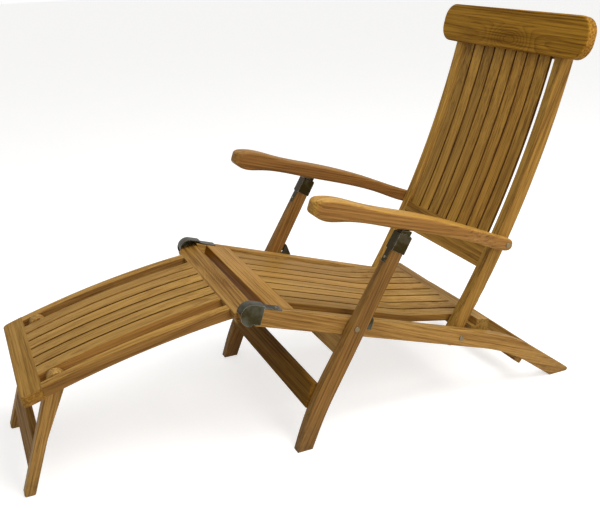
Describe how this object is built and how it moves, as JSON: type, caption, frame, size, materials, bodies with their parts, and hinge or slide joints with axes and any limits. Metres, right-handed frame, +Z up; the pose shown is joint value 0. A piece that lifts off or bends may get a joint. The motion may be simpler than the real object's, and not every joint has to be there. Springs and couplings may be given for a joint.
{
  "type": "folding deck chair",
  "caption": "Folding wooden deck chair with arms, bowed slatted back, head board and a hinged slatted leg rest on its own folding legs.",
  "frame": {"origin": "middle of the footprint's bounding box, on the floor", "axes": "+X to the sitter's left, +Y towards the back of the chair, +Z up"},
  "size_m": [0.61, 1.4734, 0.9745],
  "materials": {
    "frame_teak": "oiled, satin",
    "slat_teak": "oiled, satin",
    "plate_steel": "dull, weathered",
    "bolt_steel": "satin"
  },
  "bodies": {
    "backrest": {"arm_fixings": "bolt_steel", "back_lower_rail": "frame_teak", "back_slat_1": "frame_teak", "back_slat_2": "frame_teak", "back_slat_3": "frame_teak", "back_slat_4": "frame_teak", "back_slat_5": "frame_teak", "back_slat_6": "frame_teak", "back_slat_7": "frame_teak", "back_slat_8": "frame_teak", "back_stile_left": "frame_teak", "back_stile_right": "frame_teak", "back_top_rail": "frame_teak", "headrest": "frame_teak"},
    "left_arm": {"arm_left": "frame_teak", "arm_rack_left": "plate_steel"},
    "right_arm": {"arm_rack_right": "plate_steel", "arm_right": "frame_teak"},
    "seat_frame": {"back_fixings": "bolt_steel", "bracket_screws": "bolt_steel", "knee_bracket_left": "plate_steel", "knee_bracket_right": "plate_steel", "leg_fixings": "bolt_steel", "leg_stops": "plate_steel", "rear_stretcher": "frame_teak", "seat_front_rail": "frame_teak", "seat_rail_left": "frame_teak", "seat_rail_right": "frame_teak", "seat_rear_rail": "frame_teak", "seat_slat_1": "slat_teak", "seat_slat_2": "slat_teak", "seat_slat_3": "slat_teak", "seat_slat_4": "slat_teak", "seat_slat_5": "slat_teak", "seat_slat_6": "slat_teak", "seat_slat_7": "slat_teak", "seat_slat_8": "slat_teak", "seat_under_board": "frame_teak"},
    "front_legs": {"cap_screws": "bolt_steel", "front_leg_left": "frame_teak", "front_leg_right": "frame_teak", "leg_cap_left": "plate_steel", "leg_cap_right": "plate_steel", "leg_stretcher": "frame_teak"},
    "footrest": {"foot_leg_fixings": "bolt_steel", "rest_end_board": "frame_teak", "rest_inner_board": "frame_teak", "rest_rail_left": "frame_teak", "rest_rail_right": "frame_teak", "rest_slat_1": "slat_teak", "rest_slat_2": "slat_teak", "rest_slat_3": "slat_teak", "rest_slat_4": "slat_teak", "rest_slat_5": "slat_teak", "rest_slat_6": "slat_teak"},
    "footrest_legs": {"foot_leg_left": "frame_teak", "foot_leg_right": "frame_teak", "foot_stretcher": "frame_teak"}
  },
  "joints": [
    {"name": "back_fold", "type": "hinge", "parent": "seat_frame", "child": "backrest", "pos_m": [0, 0.37153, 0.18528], "axis": [1, 0, 0], "range_deg": [0, 85]},
    {"name": "left_arm_turn", "type": "hinge", "parent": "backrest", "child": "left_arm", "pos_m": [0, 0.50248, 0.41954], "axis": [1, 0, 0], "range_deg": [-95.2, 0]},
    {"name": "right_arm_turn", "type": "hinge", "parent": "backrest", "child": "right_arm", "pos_m": [0, 0.50248, 0.41954], "axis": [1, 0, 0], "range_deg": [-95.2, 0]},
    {"name": "leg_fold", "type": "hinge", "parent": "seat_frame", "child": "front_legs", "pos_m": [0, 0.05265, 0.29666], "axis": [1, 0, 0], "range_deg": [0, 89.3]},
    {"name": "footrest_hinge", "type": "hinge", "parent": "seat_frame", "child": "footrest", "pos_m": [0, -0.19838, 0.3745], "axis": [1, 0, 0], "range_deg": [-15, 88]},
    {"name": "footrest_leg_fold", "type": "hinge", "parent": "footrest", "child": "footrest_legs", "pos_m": [0, -0.62894, 0.27448], "axis": [1, 0, 0], "range_deg": [0, 112]}
  ],
  "couplings": [
    {"joint": "left_arm_turn", "follows": "back_fold", "ratio": -1.12},
    {"joint": "right_arm_turn", "follows": "back_fold", "ratio": -1.12},
    {"joint": "leg_fold", "follows": "back_fold", "ratio": 1.05}
  ]
}
